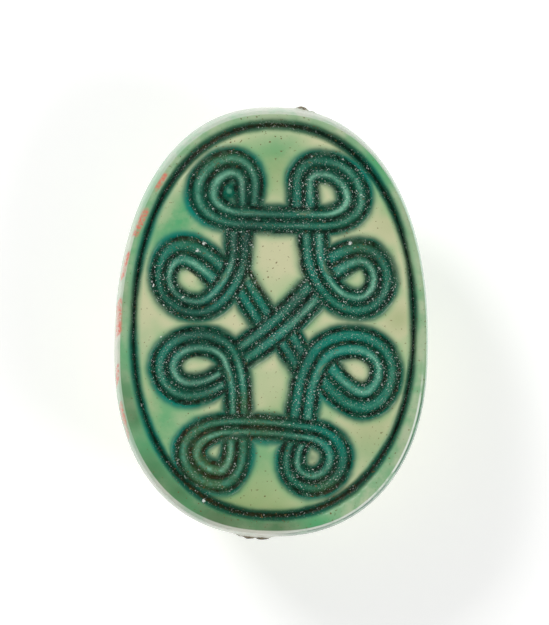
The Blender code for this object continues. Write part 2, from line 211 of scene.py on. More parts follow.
# Head and clypeus
HEAD_SETBACK = 3.1
HEAD_SIZE = (6.2, 3.4, 2.6)
EYE_OUT = 2.3
EYE_FORWARD = 0.1
EYE_LOW = 0.55
EYE_SIZE = 1.0
CLYPEUS_WIDTH = 4.6
CLYPEUS_SETBACK = 0.6
CLYPEUS_REACH = 2.5
CLYPEUS_THICKNESS = 0.9
CLYPEUS_NOTCH = 0.35
CLYPEUS_NOTCHES = 6
CLYPEUS_SHARPNESS = 6
CLYPEUS_ROUND = 0.2

# The string hole
HOLE_DIAMETER = 1.9
HOLE_COVER = 0.15
HOLE_SIDES = 64
HOLE_SHADE = 0.5
HOLE_LEVEL = PLATE_BOTTOM - HOLE_COVER - HOLE_DIAMETER / 2

# Lines cut in the back
BACK_LINE_WIDTH = 0.36
BACK_LINE_DEPTH = 0.16
BACK_LINE_POINTS = 41
COLLAR_SHARE = 0.29
COLLAR_BOW = 0.7
COLLAR_REACH = 0.93
WING_LINE_GAP = 0.5
NICK_SHARES = ((0.88, 0.19), (0.73, 0.11), (0.59, 0.0))

# What the glaze is coloured by: each point of the mesh holds a number for each of these
MASKS = (
    "groove", "edge", "strand", "crest", "bend", "border", "border_gap", "face", "wall", "inset",
    "ends", "green", "olive_and_shadow", "dirt", "light", "sparkle", "bare", "teal", "dull", "lip", "filled",
    "grain", "crumb", "sheen_wash", "hollow_shade", "ink",
)

# Glaze pools within this reach of a cut. Painted shade darkens the beetle's hollows, under the plate,
# round the string hole and the back's edge by these slopes and limits
POOL_REACH = 0.52
SHADE_REACH = 1.2
SHADE_SLOPE = 0.3
SHADE_TOP_GAP = 0.02
SHADE_LOW_GAP = 0.1
GAP_SLOPE = 0.8
BACK_SHADE = 0.12
BACK_SLOPE = 0.5
HOLLOW_EDGE = 0.25
STROKE_SHADE = 0.8

# Places where the glaze differs, or where painted highlights, reflection and shade go, as x, y, radius
# and strength
PATCHES = {
    "green": (
        (0.1, 8.1, 1.2, 0.95), (-4.0, 4.9, 1.2, 1.0), (-5.2, 3.9, 0.9, 0.6), (-4.9, -4.4, 1.4, 0.8),
        (-5.6, -6.2, 1.2, 0.7), (-0.3, -6.2, 0.9, 0.7), (4.7, 7.3, 1.2, 1.0), (2.3, -9.4, 1.0, 1.0),
        (4.7, -6.1, 1.0, 0.5), (-3.9, -8.3, 1.4, 0.6), (-6.7, -1.5, 1.6, 0.6), (-6.5, 3.2, 1.2, 0.4),
        (2.6, -3.2, 1.0, 0.5), (-1.5, 2.6, 0.8, 0.5), (-3.0, 8.6, 1.0, 0.3),
    ),
    # Olive tint on the fields, and on the rim a darkening that is partly painted shadow beside the border
    # line
    "olive_and_shadow": (
        (-6.2, -4.6, 0.6, 0.4), (-4.1, -7.9, 0.6, 0.4), (-6.75, 0.9, 0.8, 0.25), (-0.8, -8.2, 1.8, 0.5),
        (0.2, 7.0, 1.2, 0.5), (4.6, -5.0, 1.4, 0.4), (0.4, -4.0, 1.0, 0.3), (5.9, 0.2, 0.7, 0.5),
        (5.4, 4.6, 1.0, 0.3), (-7.0, -3.6, 1.3, 0.6), (-5.6, -7.2, 1.4, 0.7), (-2.6, -9.3, 1.6, 0.7),
        (0.6, -9.5, 1.2, 0.6),
    ),
    "dirt": (
        (-2.8, 8.5, 1.3, 1.0), (2.8, -8.1, 0.9, 1.0), (0.0, 8.9, 1.6, 0.5), (-3.3, -8.2, 1.4, 0.7),
        (5.5, -7.1, 1.2, 0.7), (6.6, -3.5, 1.4, 0.4), (-1.1, -3.7, 0.5, 0.8), (-4.0, 3.9, 0.8, 0.5),
        (-3.4, -5.2, 1.3, 0.7), (-2.6, -6.6, 1.3, 0.6), (-0.4, -4.9, 1.1, 0.6), (-0.5, -9.3, 1.8, 0.6),
        (4.0, 3.9, 0.9, 0.6), (-0.2, 2.1, 0.9, 0.9),
    ),
    # Where the painted highlight on the strands' crests is brighter
    "light": (
        (-2.2, 6.4, 1.9, 1.0), (3.2, 6.0, 1.6, 0.7), (-4.2, -2.2, 1.8, 0.6), (-3.0, -6.4, 1.8, 0.7),
        (4.8, -2.4, 1.6, 0.5), (-3.4, 1.8, 1.4, 0.4), (-1.5, -2.6, 1.2, 0.6), (4.6, 1.6, 1.5, 0.4),
        (0.0, -4.7, 1.6, 0.4), (1.8, 3.4, 1.0, 0.5), (-2.5, 2.0, 0.9, 0.5), (1.75, 0.6, 0.6, 1.0),
        (0.95, -0.15, 0.5, 0.9), (0.1, -0.9, 0.6, 0.8), (-1.7, -2.4, 0.8, 0.5),
    ),
    # Where more painted glints sit in the carving, and its beds are darker
    "sparkle": (
        (1.9, 2.6, 1.4, 1.0), (-1.6, 2.8, 1.3, 1.0), (-5.1, 1.9, 1.2, 1.0), (-1.4, -3.3, 1.0, 0.7),
        (1.6, -3.3, 1.3, 0.9), (0.4, 0.0, 1.6, 0.8), (2.0, -6.6, 1.2, 0.7), (5.2, 1.4, 1.2, 0.7),
        (1.4, 6.2, 1.0, 0.8), (5.0, -2.2, 1.3, 0.7), (-5.2, -2.0, 0.9, 0.8), (3.8, 6.2, 0.9, 0.7),
    ),
    "bare": (
        (-3.75, 2.05, 0.55, 1.0), (3.95, -2.25, 0.6, 1.0), (-3.65, -2.0, 0.5, 0.7), (4.0, 2.1, 0.5, 0.6),
        (0.0, 2.6, 1.3, 0.8), (0.0, -3.0, 1.1, 0.5), (2.4, 6.15, 0.5, 0.5), (-6.1, 0.3, 1.2, 0.5),
        (1.4, 3.1, 0.5, 0.3), (7.0, -1.0, 0.9, 0.8), (0.0, 9.75, 1.2, 0.95), (6.7, 3.2, 1.2, 0.6),
        (-3.0, 9.2, 1.0, 0.4), (2.6, 9.3, 1.0, 0.4),
    ),
    "teal": (
        (-2.6, 1.5, 1.0, 0.8), (2.4, 2.7, 1.1, 0.8), (-0.8, 1.0, 0.7, 0.9), (0.2, -0.7, 0.9, 0.8),
        (2.7, -1.6, 1.2, 1.0), (4.2, -0.9, 1.3, 0.5), (2.8, -5.4, 1.2, 0.8), (-1.6, -3.2, 0.8, 0.5),
        (4.8, -3.2, 1.0, 0.5), (-4.6, 3.2, 0.9, 0.5), (1.5, -3.6, 0.9, 0.7), (-4.8, -1.6, 0.9, 0.6),
        (1.4, 5.6, 0.7, 0.5), (-3.2, -4.9, 0.9, 0.5),
    ),
    "dull": (
        (-1.2, 3.5, 1.0, 1.0), (-3.3, -0.2, 1.5, 0.8), (0.9, 1.0, 0.8, 0.8), (0.0, 4.7, 2.0, 0.5),
        (-1.6, 6.2, 0.8, 0.5), (-3.3, -3.0, 1.2, 0.6), (1.2, -1.5, 0.6, 0.7), (-4.6, 0.9, 0.8, 0.6),
        (4.9, 3.4, 0.9, 0.6), (2.2, 7.4, 0.9, 0.5), (0.2, -5.2, 1.2, 0.4), (3.2, -7.0, 0.8, 0.5),
        (-0.4, -0.3, 0.6, 0.4), (5.0, 0.9, 0.7, 0.5),
    ),
    "filled": ((-2.04, 6.03, 0.36, 1.0), (1.99, -6.27, 0.3, 0.35), (3.75, 2.55, 0.3, 0.5)),
    # Painted reflection that brightens the plate's wall in patches
    "sheen_wash": (
        (-7.3, -0.9, 2.6, 0.9), (-6.9, 3.4, 1.8, 0.6), (-0.6, -10.0, 2.0, 1.0), (0.4, 10.0, 2.0, 0.5),
        (-5.0, -8.0, 1.6, 0.5),
    ),
    "grain": (
        (-3.03, -8.33, 0.1, 1.0), (-3.17, 3.6, 0.11, 1.0), (-3.48, 3.26, 0.09, 1.0),
        (3.58, 3.7, 0.1, 1.0), (3.84, 3.12, 0.07, 1.0), (-5.1, -0.75, 0.06, 0.9), (1.2, -2.55, 0.06, 0.9),
        (-4.1, 1.1, 0.07, 0.9),
    ),
    # Where the rim carries a painted highlight line over a teal streak
    "lip": ((7.0, -3.9, 1.4, 0.8), (6.0, -6.3, 1.8, 1.0), (3.8, -8.5, 1.8, 1.0), (1.6, -9.7, 1.2, 0.8)),
}

# How far the larger grains and the crumbs stand up, and how ragged a crumb is
GRAIN_RISE = 0.03
CRUMB_RISE = 0.16
CRUMB_RAGGED = 0.8
CRUMB_LUMPS = (0.22, 23.0)

# Crumbs of dirt stuck on the plate's edge: x, y, depth below the face and radius
CRUMBS = ((1.25, 9.92, 1.25, 0.3), (-0.3, -9.95, 1.2, 0.3), (-0.95, -9.92, 1.3, 0.3))

# How the faded red dabs on the left edge lean and end, and then each one's start, end and width
INK_LEAN = 0.4
INK_REACH = 1.0
INK_RAGGED = 0.35
INK_LUMPS = (0.5, 5.0)
INK_DABS = (
    ((-5.0, 6.75), (-5.4, 6.1), 0.3),
    ((-5.9, 5.05), (-6.35, 4.0), 0.4),
    ((-6.7, 3.1), (-6.95, 2.1), 0.3),
    ((-7.1, 0.95), (-7.1, -0.5), 0.45),
    ((-7.15, -2.1), (-7.15, -2.7), 0.35),
    ((-7.0, -3.8), (-6.65, -5.25), 0.35),
)

# Colours of the glaze and of what lies in the carving, and painted highlights, glints, reflection and
# shade
CREAM = (0.7, 0.7, 0.43)
PALE_GREEN = (0.46, 0.62, 0.33)
FRESH_GREEN = (0.12, 0.45, 0.2)
OLIVE = (0.31, 0.43, 0.17)
RIM_GREEN = (0.27, 0.5, 0.27)
RIM_PALE = (0.52, 0.62, 0.4)
# Darker rim green, partly painted shadow beside the border line
RIM_DARK_AND_SHADOW = (0.045, 0.13, 0.045)
TEAL = (0.004, 0.14, 0.085)
TEAL_BRIGHT = (0.004, 0.28, 0.21)
STRAND_DARK = (0.004, 0.095, 0.055)
STRAND_MID = (0.012, 0.17, 0.105)
STRAND_DULL = (0.022, 0.075, 0.055)
STRAND_OLIVE = (0.075, 0.15, 0.05)
# Painted highlight on the strands' crests, also the pale middle of the filled loop
RIDGE_PALE_AND_HIGHLIGHT = (0.23, 0.56, 0.38)
GROOVE_BLACK = (0.001, 0.016, 0.008)
GROOVE_GREEN = (0.007, 0.075, 0.04)
GROOVE_BROWN = (0.040, 0.032, 0.008)
# Pale specks: painted glints in the carving, and the larger grains
GRAIN_AND_GLINT_WHITE = (0.95, 1.0, 0.93)
SPECK_BROWN = (0.16, 0.11, 0.04)
CRUMB_BROWN = (0.05, 0.035, 0.012)
# The wall's pale colours are painted reflection over partly pale glaze
WALL_PALE_AND_SHEEN = (0.6, 0.66, 0.56)
WALL_SHEEN_WHITE = (0.8, 0.8, 0.68)
WALL_GREEN = (0.38, 0.62, 0.42)
# Painted shade along the seal's outline
WALL_SHADE_LINE = (0.05, 0.12, 0.07)
# Painted highlight line along part of the rim
LIP_HIGHLIGHT = (0.85, 0.92, 0.82)
INK_RED = (0.82, 0.2, 0.15)
WHITE = (1.0, 1.0, 1.0)
TABLE_GREY = (0.9, 0.9, 0.9)
TABLE_WHITE = (0.94, 0.94, 0.94)

# Noise in the colours, as size in millimetres, detail and roughness
NOISES = {
    "broad": (2.6, 2.0, 0.55),
    "medium": (0.8, 3.0, 0.55),
    "small": (0.3, 2.0, 0.55),
    "fine": (0.16, 3.0, 0.7),
    "grit": (0.08, 2.0, 0.6),
    "glint_specks": (0.068, 1.0, 0.6),
    "clusters": (0.11, 2.0, 0.6),
    "specks": (0.13, 1.0, 0.5),
}
TABLE_NOISE = (40.0, 2.0, 0.55)
NOISE_SHIFT = (7.0, 3.0, 5.0)

# How the colours fall off, and how the surfaces shine
POOL_POWER = 2.2
POOL_EDGE_POWER = 0.8
RIDGE_POWER = 3.4
GLAZE_ROUGHNESS = (0.12, 0.26)
GLAZE_SPECULAR = 0.12
GLAZE_BUMP = 0.06
TABLE_ROUGHNESS = 0.9
TABLE_GLOW = 0.38

# The studio: soft lights by name, place, size and power, under a white sky
SOFT_LIGHTS = (
    ("key", (-110.0, 120.0, 170.0), 70.0, 0.24),
    ("fill", (140.0, -60.0, 160.0), 90.0, 0.15),
)
SKY_STRENGTH = 0.36
SKY_DARK_CENTRE = 0.04
SKY_DARK_ANGLES = (0.8, 0.985)
FLOOR_SIZE = 600.0
FLOOR_GAP = 0.01

# The camera, straight above the face
CAMERA_LENS_MM = 300.0
CAMERA_SENSOR_MM = 36.0
CAMERA_CLIP = 0.001
PICTURE_WIDTH_PX = 549
PICTURE_HEIGHT_PX = 625
SEAL_LENGTH_PX = 432.0
SEAL_CENTRE_PX = (271.5, 322.0)
SEAL_LEAN = math.radians(0.8)


def smoothstep(low, high, value):
    share = np.clip((value - low) / (high - low), 0.0, 1.0)
    return share * share * (3 - 2 * share)


def lumps(points, size, seed):
    """Smooth noise from -1 to 1 at each point, with lumps of about the given size."""
    return np.array([noise.noise(Vector(point)) for point in points / size + seed])


def nearest_on(points, path, reach):
    """Each point's distance to a path, and how far along it: stretches passed, plus a share of one.

    Points further away than reach keep an infinite distance.
    """
    distance = np.full(len(points), np.inf)
    passed = np.zeros(len(points))
    for i, (start, stop) in enumerate(zip(path, path[1:])):
        way = stop - start
        near = (np.abs(points - (start + stop) / 2) < np.abs(way) / 2 + reach).all(axis=1)
        near = np.flatnonzero(near)
        offset = points[near] - start
        share = np.clip(offset @ way / (way @ way), 0.0, 1.0)
        gap = np.linalg.norm(offset - share[:, None] * way, axis=1)
        closer = gap < distance[near]
        distance[near[closer]] = gap[closer]
        passed[near[closer]] = i + share[closer]
    return distance, passed


# Cords


def heading_vector(degrees):
    return np.array((math.cos(math.radians(degrees)), math.sin(math.radians(degrees))))


def cross(a, b):
    return a[0] * b[1] - a[1] * b[0]


def cord_line(stations):
    """Rows of x, y, heading x, heading y and half width along a cord's middle."""
    scale = np.array((WIDTH / DRAWN_WIDTH, LENGTH / DRAWN_LENGTH))
    rows = []
    for (x0, y0, turn0, half0), (x1, y1, turn1, half1) in zip(stations, stations[1:]):
        start, end = np.array((x0, y0)) * scale, np.array((x1, y1)) * scale
        out, into = heading_vector(turn0), heading_vector(turn1)
        chord = end - start
        length = np.linalg.norm(chord)
        turn = math.acos(max(-1.0, min(1.0, out @ into)))
        reach_out = reach_in = length / 3
        if turn > LEAST_CORNER:
            # The handles run towards the corner where the two headings meet.
            bulge = 4 / 3 * math.tan(turn / 4) / math.tan(turn / 2)
            reach_out = bulge * cross(chord, into) / cross(out, into)
            reach_in = bulge * cross(out, chord) / cross(out, into)
        handle_out, handle_in = start + out * reach_out, end - into * reach_in
        steps = max(1, math.ceil(turn / ARC_STEP), math.ceil(length / LONGEST_STEP))
        for t in np.arange(0 if not rows else 1, steps + 1) / steps:
            s = 1 - t
            place = s**3 * start + 3 * s * s * t * handle_out + 3 * s * t * t * handle_in + t**3 * end
            way = (s * s * (handle_out - start) + 2 * s * t * (handle_in - handle_out)
                   + t * t * (end - handle_in))
            half = (half0 + (half1 - half0) * t * t * (3 - 2 * t)) * scale[0]
            rows.append((*place, *way / np.linalg.norm(way), half))
    return np.array(rows)


def rail(line, side):
    """One groove of a cord as rows of x, y and half width, without the folds of tight bends."""
    before, after = line[0].copy(), line[-1].copy()
    before[:2] -= before[2:4] * RUN_ON
    after[:2] += after[2:4] * RUN_ON
    rows = []
    for x, y, way_x, way_y, half in (before, *line, after):
        place = (x - way_y * half * side, y + way_x * half * side)
        if rows and (place[0] - rows[-1][0]) * way_x + (place[1] - rows[-1][1]) * way_y < SHORTEST_STEP:
            continue
        rows.append((*place, half))
    return np.array(rows)


def over_strip(lines, name, over, end):
    """The part of a cord's line that lies over one end of another, or over its own far end."""
    line = lines[over]
    if over != name:
        return line
    if end == -1:
        line = line[::-1]
    steps = np.linalg.norm(np.diff(line[:, :2], axis=0), axis=1)
    passed = np.concatenate(((0.0,), np.cumsum(steps)))
    return line[passed > OWN_END]


def is_under(place, strip):
    distance, passed = nearest_on(place[None, :2], strip[:, :2], strip[:, 4].max())
    return distance[0] < strip[int(passed[0]), 4]


def trim_end(rows, strip):
    """Cuts the end of a groove back to the outer groove of the cord that it dives under."""
    while len(rows) > 2 and is_under(rows[-2], strip):
        rows = rows[:-1]
    if is_under(rows[-1], strip):
        outside, inside = rows[-2], rows[-1]
        for _ in range(TRIM_HALVINGS):
            middle = (outside + inside) / 2
            if is_under(middle, strip):
                inside = middle
            else:
                outside = middle
        rows = np.vstack((rows[:-1], inside))
    return rows


def cord_rails():
    """For each cord, its left, middle and right groove as rows of x, y and half width."""
    lines = {name: cord_line(stations) for name, (_, _, stations) in CORDS.items()}
    rails = {}
    for name, (starts_under, ends_under, _) in CORDS.items():
        grooves = []
        for side in (1, 0, -1):
            rows = rail(lines[name], side)
            rows = trim_end(rows, over_strip(lines, name, ends_under, -1))[::-1]
            rows = trim_end(rows, over_strip(lines, name, starts_under, 0))
            grooves.append(rows)
        rails[name] = grooves
    return rails


# The form: a grid for the face, then rings over the rim, down the sides and round the back


def section(z, side, head, tail, centre=WIDEST_SHARE, shift=0.0):
    """One oval ring: its height, its reach to the side, head and tail, and its middle."""
    return np.array((z, side, head, tail, centre * LENGTH / 2, shift))


def seal_section(z, inset, head=None, tail=None, shift=0.0):
    head = inset if head is None else head
    tail = inset if tail is None else tail
    return section(z, WIDTH / 2 - inset, LENGTH / 2 - head, LENGTH / 2 - tail, shift=shift)


def oval_points(ring, across, along, fullness=FULLNESS):
    """Points of an oval section in the directions of unit vectors, or inside it for shorter ones."""
    z, side, head, tail, centre, shift = ring
    size = np.maximum(np.hypot(across, along), TINY)
    corner = np.abs(across / size)**fullness + np.abs(along / size)**fullness
    corner = np.where(corner > 0, corner, 1.0)**(-1 / fullness)
    swell = 1 + (corner - 1) * size**2
    reach = np.where(along > 0, head - centre, tail + centre)
    x = shift + side * across * swell
    y = centre + reach * along * swell
    return np.column_stack((x, y, np.full(len(x), z)))


def oval_share(ring, points, fullness=FULLNESS):
    """How far out each point is in an oval section: 0 in its middle and 1 on it."""
    _, side, head, tail, centre, shift = ring
    across, along = points[:, 0] - shift, points[:, 1] - centre
    reach = np.where(along > 0, head - centre, tail + centre)
    return (np.abs(across / side)**fullness + np.abs(along / reach)**fullness)**(1 / fullness)


FACE = seal_section(HEIGHT, FACE_INSET_SIDE, FACE_INSET_HEAD, FACE_INSET_TAIL, FACE_SHIFT_X)


def dome_z(share):
    return np.maximum(0.0, DOME_EDGE - DOME_RISE * np.sqrt(np.maximum(0.0, 1 - share**DOME_POWER)))


def dome_section(share):
    head = DOME_CENTRE + share * (DOME_HEAD - DOME_CENTRE)
    tail = share * (DOME_TAIL + DOME_CENTRE) - DOME_CENTRE
    return section(dome_z(share), share * DOME_SIDE, head, tail, DOME_CENTRE_SHARE)


def rings_between(keys, counts):
    """Sections on a curve through key sections that never swings past them."""
    keys = np.array(keys)
    steps = np.diff(keys, axis=0)
    product = steps[:-1] * steps[1:]
    total = np.where(np.abs(steps[:-1] + steps[1:]) > TINY, steps[:-1] + steps[1:], 1.0)
    slopes = np.where(product > 0, 2 * product / total, 0.0)
    slopes = np.vstack((steps[:1], slopes, steps[-1:]))
    rings = []
    for i, count in enumerate(counts):
        for t in np.arange(1, count + 1)[:, None] / count:
            rings.append(
                keys[i] * (1 + 2 * t) * (1 - t)**2 + slopes[i] * t * (1 - t)**2
                + keys[i + 1] * t * t * (3 - 2 * t) + slopes[i + 1] * t * t * (t - 1)
            )
    return rings


def side_sections():
    """Rings over the rim, down the plate's wall and the beetle's side, and to the middle of its back."""
    keys = [
        FACE,
        seal_section(HEIGHT - RIM_ROUND, FACE_INSET_SIDE - RIM_ROUND / 2, FACE_INSET_HEAD - RIM_ROUND,
                     FACE_INSET_TAIL - RIM_ROUND, FACE_SHIFT_X / 2),
        seal_section(HEIGHT - PLATE_FLARE, 0.0),
        seal_section(PLATE_BOTTOM + PLATE_UNDERCUT / 2, PLATE_UNDERCUT / 4),
        seal_section(PLATE_BOTTOM, PLATE_UNDERCUT),
        seal_section(PLATE_BOTTOM - DOME_LIP / 2, BODY_INSET, BODY_INSET_HEAD),
        seal_section(DOME_EDGE + DOME_LIP, BODY_INSET, BODY_INSET_HEAD),
        dome_section(1.0),
    ]
    rings = rings_between(keys, RING_COUNTS)
    for i in range(1, DOME_RINGS + 1):
        rings.append(dome_section(math.cos(math.pi / 2 * i / (DOME_RINGS + 1))))
    return rings


def make_form():
    """The smooth uncarved seal: points and faces."""
    u, v = np.meshgrid(
        np.linspace(-1, 1, GRID_ACROSS + 1), np.linspace(-1, 1, GRID_ALONG + 1), indexing="ij"
    )
    across = (u * np.sqrt(1 - v * v / 2)).ravel()
    along = (v * np.sqrt(1 - u * u / 2)).ravel()
    points = [oval_points(FACE, across, along)]
    index = np.arange(across.size).reshape(u.shape)
    corners = (index[:-1, :-1], index[1:, :-1], index[1:, 1:], index[:-1, 1:])
    faces = np.stack([corner.ravel() for corner in corners], axis=1).tolist()
    ring = np.concatenate((index[:, 0], index[-1, 1:], index[-2::-1, -1], index[0, -2:0:-1]))
    across, along = across[ring], along[ring]
    made = len(points[0])
    for i, sizes in enumerate(side_sections()):
        fewer = i in (RING_COUNTS[0], sum(RING_COUNTS))
        if fewer:
            across, along = across[::2], along[::2]
        below = made + np.arange(len(across))
        points.append(oval_points(sizes, across, along))
        made += len(across)
        onward = np.roll(below, -1)
        if fewer:
            upper = np.roll(ring, -2)[::2]
            quads = np.stack((ring[::2], below, onward, upper, ring[1::2]), axis=1)
        else:
            quads = np.stack((ring, below, onward, np.roll(ring, -1)), axis=1)
        faces += quads.tolist()
        ring = below
    faces.append(ring[::-1].tolist())
    return np.vstack(points), faces


def path_on_back(places):
    """Points on the domed back over places given as x and y."""
    places = np.array(places)
    share = np.minimum(1.0, oval_share(dome_section(1.0), places))
    return np.column_stack((places, dome_z(share)))


def back_lines():
    """The collar line, the two lines between the wing cases, and a nick at each shoulder."""
    seam_start = COLLAR_SHARE * LENGTH / 2 - COLLAR_BOW
    shares = np.linspace(-1, 1, BACK_LINE_POINTS)
    collar = np.column_stack((shares * DOME_SIDE * COLLAR_REACH, seam_start + COLLAR_BOW * shares**2))
    paths = [path_on_back(collar)]
    for side in (-1, 1):
        seam_y = np.linspace(seam_start, -DOME_TAIL, BACK_LINE_POINTS)
        seam_x = np.full(BACK_LINE_POINTS, side * WING_LINE_GAP / 2)
        paths.append(path_on_back(np.column_stack((seam_x, seam_y))))
        nick = [(side * across * WIDTH / 2, along * LENGTH / 2) for across, along in NICK_SHARES]
        paths.append(path_on_back(nick))
    return paths


def refine_near(points, faces, paths, reach):
    """The same form with its faces split finely near the lines that get cut in the back."""
    form = bmesh.new()
    verts = [form.verts.new(point) for point in points]
    for face in faces:
        form.faces.new([verts[i] for i in face])
    near = np.zeros(len(points), bool)
    low = points[:, 2] < DOME_EDGE + DOME_LIP / 4
    for path in paths:
        near[low] |= nearest_on(points[low], path, reach)[0] < reach
    form.verts.index_update()
    edges = [edge for edge in form.edges if all(near[vert.index] for vert in edge.verts)]
    bmesh.ops.subdivide_edges(form, edges=edges, cuts=2, use_grid_fill=True)
    form.verts.index_update()
    points = np.array([vert.co for vert in form.verts])
    faces = [[vert.index for vert in face.verts] for face in form.faces]
    form.free()
    return points, faces


def point_normals(points, faces):
    mesh = bpy.data.meshes.new("form")
    mesh.from_pydata(points, [], faces)
    normals = np.empty(len(points) * 3)
    mesh.vertex_normals.foreach_get("vector", normals)
    bpy.data.meshes.remove(mesh)
    return normals.reshape(-1, 3)


# The beetle's relief, as distances to solid shapes that are negative inside


def side_x(y, inset):
    centre = WIDEST_SHARE * LENGTH / 2
    reach = LENGTH / 2 - inset + (-centre if y > centre else centre)
    share = min(1.0, abs(y - centre) / reach)
    return (WIDTH / 2 - inset) * (1 - share**FULLNESS)**(1 / FULLNESS)


def leg_distance(points, start, end, side):
    """Distance to one leg, and a cut depth for the row of short strokes along its outer edge."""
    path = []
    rise = BODY_HEIGHT - DOME_LIP - LEG_THICKNESS / 6
    for share in np.linspace(0, 1, LEG_STEPS + 1):
        y = (start + (end - start) * share) * LENGTH / 2
        z = DOME_EDGE + DOME_LIP / 2 + rise * share**LEG_SLOPE
        path.append((side * side_x(y, BODY_INSET - LEG_SINK), y, z))
    path = np.array(path)
    distance, passed = nearest_on(points, path, LEG_THICKNESS)
    distance = np.minimum(distance, LEG_THICKNESS)
    row = np.minimum(passed.astype(int), LEG_STEPS - 1)
    above = points[:, 2] > path[row, 2] + (path[row + 1, 2] - path[row, 2]) * (passed - row)
    strokes = np.cos(passed / LEG_STEPS * LEG_STROKES * 2 * math.pi)**LEG_STROKE_SHARPNESS
    strokes *= above * smoothstep(*LEG_STROKE_EDGE, distance) * (passed > 0) * (passed < LEG_STEPS)
    return distance - LEG_THICKNESS / 2 * (1 - LEG_TAPER * passed / LEG_STEPS), strokes


def ellipsoid_distance(points, centre, radii):
    offset = points - centre
    inner = np.linalg.norm(offset / radii, axis=1)
    outer = np.linalg.norm(offset / np.square(radii), axis=1)
    return inner * (inner - 1) / np.maximum(outer, TINY)


def clypeus_distance(points):
    """A flat fan in front of the head, with a notched edge."""
    x, y, z = points.T
    root = LENGTH / 2 - HEAD_SETBACK - CLYPEUS_SETBACK
    angle = np.arctan2(x, y - root)
    reach = CLYPEUS_REACH + CLYPEUS_SETBACK
    reach = reach - CLYPEUS_NOTCH * np.cos(angle * CLYPEUS_NOTCHES)**CLYPEUS_SHARPNESS
    flat = np.maximum(np.hypot(x, y - root) - reach, np.abs(x) - CLYPEUS_WIDTH / 2)
    level = np.abs(z - DOME_EDGE - CLYPEUS_THICKNESS / 2 - DOME_LIP / 2) - CLYPEUS_THICKNESS / 2
    rounded = np.maximum(flat + CLYPEUS_ROUND, 0), np.maximum(level + CLYPEUS_ROUND, 0)
    return np.hypot(*rounded) - CLYPEUS_ROUND


def join(a, b):
    """The nearer of two shapes, run together softly where they meet."""
    share = np.clip(0.5 + 0.5 * (b - a) / SHAPE_BLEND, 0, 1)
    return b + (a - b) * share - SHAPE_BLEND * share * (1 - share)


def beetle_distance(points):
    """Distance to the nearest of the beetle's raised shapes, and how deep strokes are cut in it."""
    distance = np.full(len(points), SHAPE_FAR)
    strokes = np.zeros(len(points))
    for start, end in LEGS.values():
        for side in (-1, 1):
            leg, cuts = leg_distance(points, start, end, side)
            strokes = np.where(leg < distance, cuts, strokes)
            distance = join(distance, leg)
    head = np.array((0.0, LENGTH / 2 - HEAD_SETBACK, DOME_EDGE + DOME_LIP))
    radii = np.array(HEAD_SIZE) / 2
    skull = ellipsoid_distance(points, head, radii)
    strokes = np.where(skull < distance, 0.0, strokes)
    distance = join(distance, skull)
    for side in (-1, 1):
        eye = head + (side * EYE_OUT, EYE_FORWARD, -EYE_LOW)
        distance = join(distance, np.linalg.norm(points - eye, axis=1) - EYE_SIZE / 2)
    return join(distance, clypeus_distance(points)), strokes


def raise_beetle(points, normals):
    """Moves the side's points out to where the beetle's shapes end.

    Gives back each point's distance from the outline of those shapes, and how deep it is cut.
    """
    side = (points[:, 2] < PLATE_BOTTOM - BAND_TOP_GAP) & (points[:, 2] > DOME_EDGE - BAND_LOW_GAP)
    moved = points[side].copy()
    way = normals[side].copy()
    # Only the head's underside moves down. The rest moves sideways, so that nothing folds or hangs.
    ledge = way[:, 2] > 0
    way[ledge | (moved[:, 2] > DOME_EDGE + DOME_LIP), 2] = 0.0
    way /= np.maximum(np.linalg.norm(way, axis=1), TINY)[:, None]
    way[ledge] *= smoothstep(DOME_EDGE, DOME_EDGE + DOME_LIP / 2, moved[ledge, 2])[:, None]
    outline, _ = beetle_distance(moved)
    for _ in range(RAISE_STEPS):
        distance, strokes = beetle_distance(moved)
        moved += way * np.maximum(0.0, -distance)[:, None]
    strokes *= outline < 0
    points[side] = moved - way * (strokes * LEG_STROKE_DEPTH)[:, None]
    gap = np.full(len(points), np.inf)
    gap[side] = outline
    cuts = np.zeros(len(points))
    cuts[side] = strokes
    return gap, cuts


# The carving of the seal face


def carve_face(points, rails):
    """The masks of the cord design and border line at places on the face, in the order of MASKS."""
    flat = points[:, :2]
    count = len(points)
    uneven = 1 + sum(share * lumps(points, size, seed) for share, size, seed in WIDTH_LUMPS)
    width = GROOVE_WIDTH / 2 * uneven
    wobble = HAND_WOBBLE * lumps(points, *WOBBLE_LUMPS)
    groove, strand, crest, bend = np.zeros((4, count))
    edge = np.full(count, np.inf)
    for grooves in rails.values():
        for rows in grooves:
            distance, _ = nearest_on(flat, rows[:, :2], POOL_REACH + GROOVE_WIDTH)
            distance = np.abs(distance + wobble)
            groove = np.maximum(groove, np.exp(-(GROOVE_STEEPNESS * distance / width)**GROOVE_POWER))
            edge = np.minimum(edge, distance - width)
        middle = grooves[1]
        distance, passed = nearest_on(flat, middle[:, :2], SEARCH_REACH)
        row = np.minimum(passed.astype(int), len(middle) - 2)
        ways = np.diff(middle[:, :2], axis=0)
        offset = flat - middle[row, :2]
        side = np.sign(ways[row, 0] * offset[:, 1] - ways[row, 1] * offset[:, 0])
        across = distance / middle[row, 2]
        beside = (passed > 0) & (passed < len(middle) - 1)
        inside = smoothstep(*STRAND_EDGE, across) * beside
        over = inside > strand
        strand = np.where(over, inside, strand)
        crest = np.where(over, np.clip(1 - np.abs(across - 0.5) / 0.5, 0, 1), crest)
        bend = np.where(over, line_bend(ways)[row] * side, bend)
    border, border_gap = border_groove(flat, uneven, wobble)
    return groove, np.minimum(edge, POOL_REACH), strand, crest, bend, border, border_gap


